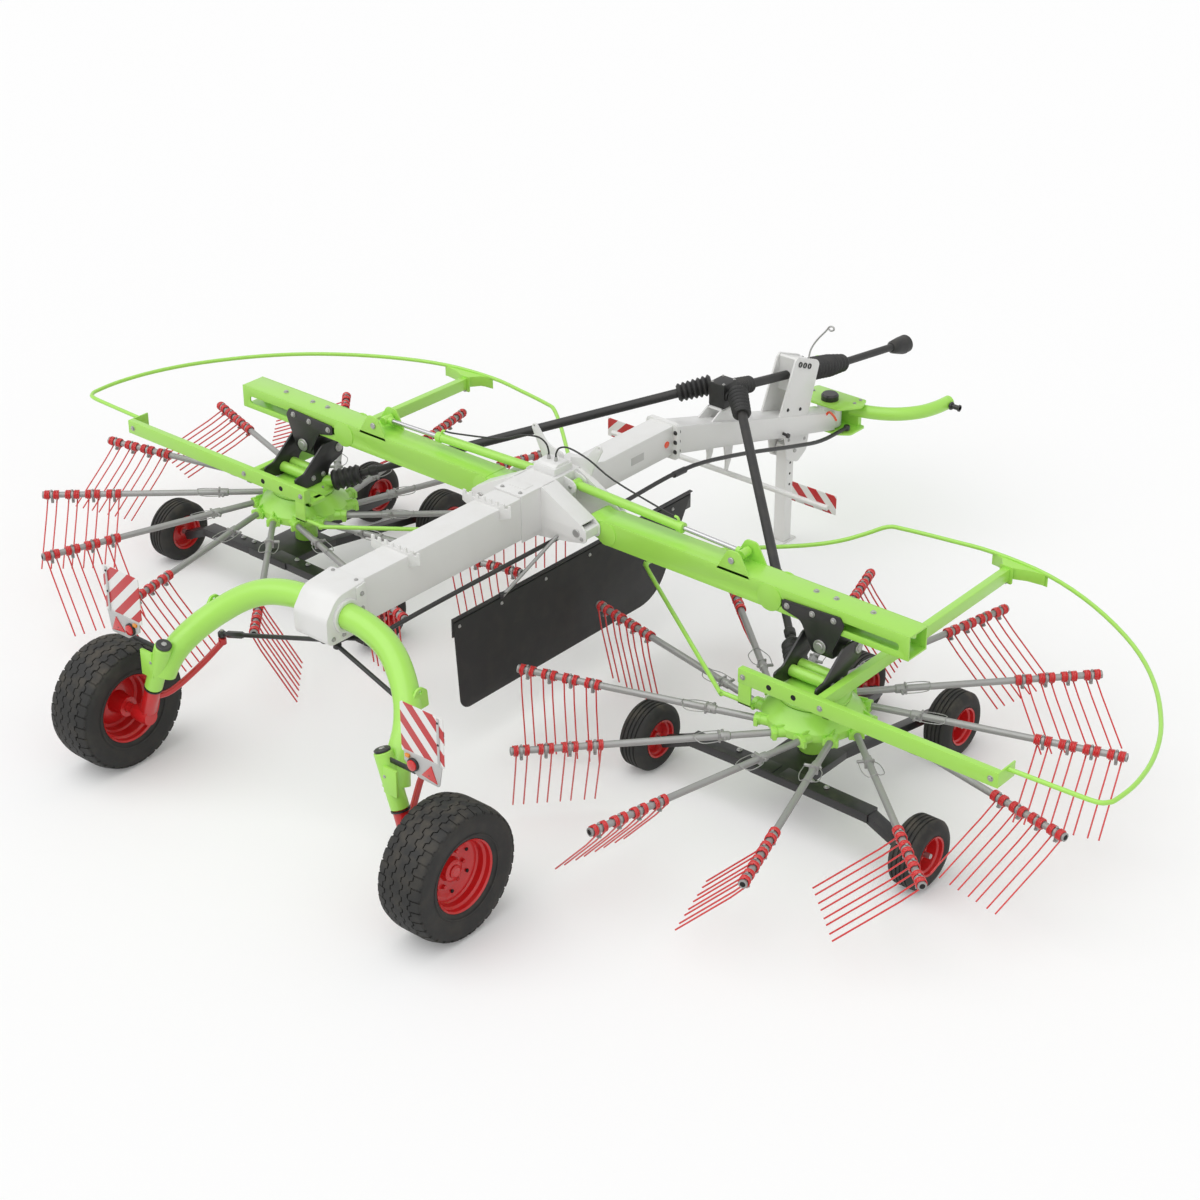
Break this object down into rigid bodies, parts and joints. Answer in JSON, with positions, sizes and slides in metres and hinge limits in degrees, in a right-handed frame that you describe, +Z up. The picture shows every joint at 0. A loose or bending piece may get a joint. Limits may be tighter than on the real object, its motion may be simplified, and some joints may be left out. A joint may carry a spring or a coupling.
{
  "type": "twin rotor hay rake",
  "caption": "Towed centre-delivery hay rake: two folding booms carry tine rotors on wheeled carriages, with a steered rear axle and a hitch yoke.",
  "frame": {"origin": "on the ground at the middle of the outline", "axes": "+Z up, +Y forward to the hitch, +X to the machine's right"},
  "size_m": [7.9768, 6.5125, 1.59],
  "materials": {
    "lime_green": "gloss paint",
    "light_grey": "gloss paint",
    "red": "gloss paint",
    "black_paint": "satin paint",
    "rubber": "matt",
    "plastic": "matt",
    "steel": "polished"
  },
  "bodies": {
    "frame": {"main_beam": "light_grey", "arch_clamp": "light_grey", "axle_arch": "lime_green", "pivot_block": "light_grey", "drawbar": "light_grey", "front_board_bar": "light_grey", "drive_gearbox": "plastic", "input_shaft": "plastic", "swath_curtain": "rubber", "rear_board_left": "light_grey", "rear_board_right": "light_grey"},
    "hitch_yoke": {"hitch_yoke": "lime_green"},
    "steering_rod": {"steering_rod": "black_paint"},
    "bellcrank": {"bellcrank": "black_paint"},
    "jack_leg": {"jack_leg": "light_grey"},
    "tie_rod_right": {"tie_rod_right": "black_paint"},
    "knuckle_right": {"knuckle_right": "red"},
    "wheel_right": {"rim_right": "red", "tyre_right": "rubber"},
    "boom_right": {"boom_right": "lime_green", "hanger_right": "black_paint", "cradle_right": "black_paint", "rotor_head_right": "lime_green", "chassis_right": "black_paint", "guard_right": "lime_green"},
    "rotor_right": {"rotor_right": "red"},
    "rotor_wheel_front_outer_right": {"rotor_wheel_front_outer_right": "rubber"},
    "rotor_wheel_front_inner_right": {"rotor_wheel_front_inner_right": "rubber"},
    "rotor_wheel_rear_outer_right": {"rotor_wheel_rear_outer_right": "rubber"},
    "rotor_wheel_rear_inner_right": {"rotor_wheel_rear_inner_right": "rubber"},
    "fold_cylinder_right": {"fold_cylinder_right": "lime_green"},
    "fold_rod_right": {"fold_rod_right": "steel"},
    "drive_shaft_right": {"drive_shaft_right": "plastic"},
    "drive_shaft_slider_right": {"drive_shaft_slider_right": "plastic"},
    "tie_rod_left": {"tie_rod_left": "black_paint"},
    "knuckle_left": {"knuckle_left": "red"},
    "wheel_left": {"rim_left": "red", "tyre_left": "rubber"},
    "boom_left": {"boom_left": "lime_green", "hanger_left": "black_paint", "cradle_left": "black_paint", "rotor_head_left": "lime_green", "chassis_left": "black_paint", "guard_left": "lime_green"},
    "rotor_left": {"rotor_left": "red"},
    "rotor_wheel_front_outer_left": {"rotor_wheel_front_outer_left": "rubber"},
    "rotor_wheel_front_inner_left": {"rotor_wheel_front_inner_left": "rubber"},
    "rotor_wheel_rear_outer_left": {"rotor_wheel_rear_outer_left": "rubber"},
    "rotor_wheel_rear_inner_left": {"rotor_wheel_rear_inner_left": "rubber"},
    "fold_cylinder_left": {"fold_cylinder_left": "lime_green"},
    "fold_rod_left": {"fold_rod_left": "steel"},
    "drive_shaft_left": {"drive_shaft_left": "plastic"},
    "drive_shaft_slider_left": {"drive_shaft_slider_left": "plastic"}
  },
  "joints": [
    {"name": "hitch_yaw", "type": "hinge", "parent": "frame", "child": "hitch_yoke", "pos_m": [0, 2.34625, 0.78], "axis": [0, 0, 1], "range_deg": [-30, 30]},
    {"name": "steering_rod_slide", "type": "slide", "parent": "frame", "child": "steering_rod", "axis": [0, 1, 0], "range_m": [-0.08211, 0.08211]},
    {"name": "bellcrank_turn", "type": "hinge", "parent": "frame", "child": "bellcrank", "pos_m": [0, -2.25375, 1.066], "axis": [0, 0, 1], "range_deg": [-30.8, 30.8]},
    {"name": "tie_rod_rock_right", "type": "hinge", "parent": "frame", "child": "tie_rod_right", "pos_m": [0.05, -2.38375, 2.9], "axis": [0, -1, 0], "range_deg": [-2.33, 2.33]},
    {"name": "wheel_steer_right", "type": "hinge", "parent": "frame", "child": "knuckle_right", "pos_m": [0.97, -2.86375, 0.605], "axis": [-0.3579, 0.0156, 0.9336], "range_deg": [-11.34, 11.34]},
    {"name": "wheel_spin_right", "type": "hinge", "parent": "knuckle_right", "child": "wheel_right", "pos_m": [1.3044, -2.87375, 0.3825], "axis": [1, 0, 0], "continuous": true},
    {"name": "boom_fold_right", "type": "hinge", "parent": "frame", "child": "boom_right", "pos_m": [0.378, -0.52125, 1.195], "axis": [0, -1, 0], "range_deg": [0, 90]},
    {"name": "rotor_spin_right", "type": "hinge", "parent": "boom_right", "child": "rotor_right", "pos_m": [2.0368, -0.65065, 0.581], "axis": [0, 0, 1], "continuous": true},
    {"name": "rotor_wheel_front_outer_right_spin", "type": "hinge", "parent": "boom_right", "child": "rotor_wheel_front_outer_right", "pos_m": [2.3718, 0.28935, 0.205], "axis": [1, 0, 0], "continuous": true},
    {"name": "rotor_wheel_front_inner_right_spin", "type": "hinge", "parent": "boom_right", "child": "rotor_wheel_front_inner_right", "pos_m": [1.7018, 0.28935, 0.205], "axis": [1, 0, 0], "continuous": true},
    {"name": "rotor_wheel_rear_outer_right_spin", "type": "hinge", "parent": "boom_right", "child": "rotor_wheel_rear_outer_right", "pos_m": [2.9668, -0.95065, 0.205], "axis": [1, 0, 0], "continuous": true},
    {"name": "rotor_wheel_rear_inner_right_spin", "type": "hinge", "parent": "boom_right", "child": "rotor_wheel_rear_inner_right", "pos_m": [1.1068, -0.95065, 0.205], "axis": [1, 0, 0], "continuous": true},
    {"name": "cylinder_swing_right", "type": "hinge", "parent": "frame", "child": "fold_cylinder_right", "pos_m": [0.155, -0.48875, 1.345], "axis": [0, -1, 0], "range_deg": [0, 85.45]},
    {"name": "rod_slide_right", "type": "slide", "parent": "fold_cylinder_right", "child": "fold_rod_right", "axis": [0.9995, 0, -0.0304], "range_m": [-0.35097, 0]},
    {"name": "shaft_swing_right", "type": "hinge", "parent": "frame", "child": "drive_shaft_right", "pos_m": [0.14, 1.11625, 1.35], "axis": [0.0813, -0.9956, -0.0468], "range_deg": [0, 88.41]},
    {"name": "shaft_slide_right", "type": "slide", "parent": "drive_shaft_right", "child": "drive_shaft_slider_right", "axis": [0.6933, -0.6812, -0.2352], "range_m": [-0.22695, 0]},
    {"name": "tie_rod_rock_left", "type": "hinge", "parent": "frame", "child": "tie_rod_left", "pos_m": [-0.05, -2.38375, 2.9], "axis": [0, -1, 0], "range_deg": [-2.33, 2.33]},
    {"name": "wheel_steer_left", "type": "hinge", "parent": "frame", "child": "knuckle_left", "pos_m": [-0.97, -2.86375, 0.605], "axis": [0.3579, 0.0156, 0.9336], "range_deg": [-11.34, 11.34]},
    {"name": "wheel_spin_left", "type": "hinge", "parent": "knuckle_left", "child": "wheel_left", "pos_m": [-1.3044, -2.87375, 0.3825], "axis": [1, 0, 0], "continuous": true},
    {"name": "boom_fold_left", "type": "hinge", "parent": "frame", "child": "boom_left", "pos_m": [-0.378, -0.52125, 1.195], "axis": [0, 1, 0], "range_deg": [0, 90]},
    {"name": "rotor_spin_left", "type": "hinge", "parent": "boom_left", "child": "rotor_left", "pos_m": [-2.0368, -0.65065, 0.581], "axis": [0, 0, 1], "continuous": true},
    {"name": "rotor_wheel_front_outer_left_spin", "type": "hinge", "parent": "boom_left", "child": "rotor_wheel_front_outer_left", "pos_m": [-2.3718, 0.28935, 0.205], "axis": [1, 0, 0], "continuous": true},
    {"name": "rotor_wheel_front_inner_left_spin", "type": "hinge", "parent": "boom_left", "child": "rotor_wheel_front_inner_left", "pos_m": [-1.7018, 0.28935, 0.205], "axis": [1, 0, 0], "continuous": true},
    {"name": "rotor_wheel_rear_outer_left_spin", "type": "hinge", "parent": "boom_left", "child": "rotor_wheel_rear_outer_left", "pos_m": [-2.9668, -0.95065, 0.205], "axis": [1, 0, 0], "continuous": true},
    {"name": "rotor_wheel_rear_inner_left_spin", "type": "hinge", "parent": "boom_left", "child": "rotor_wheel_rear_inner_left", "pos_m": [-1.1068, -0.95065, 0.205], "axis": [1, 0, 0], "continuous": true},
    {"name": "cylinder_swing_left", "type": "hinge", "parent": "frame", "child": "fold_cylinder_left", "pos_m": [-0.155, -0.48875, 1.345], "axis": [0, 1, 0], "range_deg": [0, 85.45]},
    {"name": "rod_slide_left", "type": "slide", "parent": "fold_cylinder_left", "child": "fold_rod_left", "axis": [-0.9995, 0, -0.0304], "range_m": [-0.35097, 0]},
    {"name": "shaft_swing_left", "type": "hinge", "parent": "frame", "child": "drive_shaft_left", "pos_m": [-0.14, 1.11625, 1.35], "axis": [0.0813, 0.9956, 0.0468], "range_deg": [0, 88.41]},
    {"name": "shaft_slide_left", "type": "slide", "parent": "drive_shaft_left", "child": "drive_shaft_slider_left", "axis": [-0.6933, -0.6812, -0.2352], "range_m": [-0.22695, 0]},
    {"name": "jack_fold", "type": "hinge", "parent": "frame", "child": "jack_leg", "pos_m": [0, 1.84625, 0.7], "axis": [-1, 0, 0], "range_deg": [0, 90]}
  ],
  "couplings": [
    {"joint": "steering_rod_slide", "follows": "hitch_yaw", "m_per_rad": 0.15},
    {"joint": "bellcrank_turn", "follows": "hitch_yaw", "ratio": 1},
    {"joint": "tie_rod_rock_right", "follows": "hitch_yaw", "ratio": 0.069705},
    {"joint": "wheel_steer_right", "follows": "hitch_yaw", "ratio": -0.36405},
    {"joint": "cylinder_swing_right", "follows": "boom_fold_right", "ratio": 0.92864},
    {"joint": "rod_slide_right", "follows": "boom_fold_right", "m_per_rad": -0.2178},
    {"joint": "shaft_swing_right", "follows": "boom_fold_right", "ratio": 0.9609},
    {"joint": "shaft_slide_right", "follows": "boom_fold_right", "m_per_rad": -0.1404},
    {"joint": "tie_rod_rock_left", "follows": "hitch_yaw", "ratio": 0.069705},
    {"joint": "wheel_steer_left", "follows": "hitch_yaw", "ratio": -0.36405},
    {"joint": "cylinder_swing_left", "follows": "boom_fold_left", "ratio": 0.92864},
    {"joint": "rod_slide_left", "follows": "boom_fold_left", "m_per_rad": -0.2178},
    {"joint": "shaft_swing_left", "follows": "boom_fold_left", "ratio": 0.9609},
    {"joint": "shaft_slide_left", "follows": "boom_fold_left", "m_per_rad": -0.1404}
  ]
}
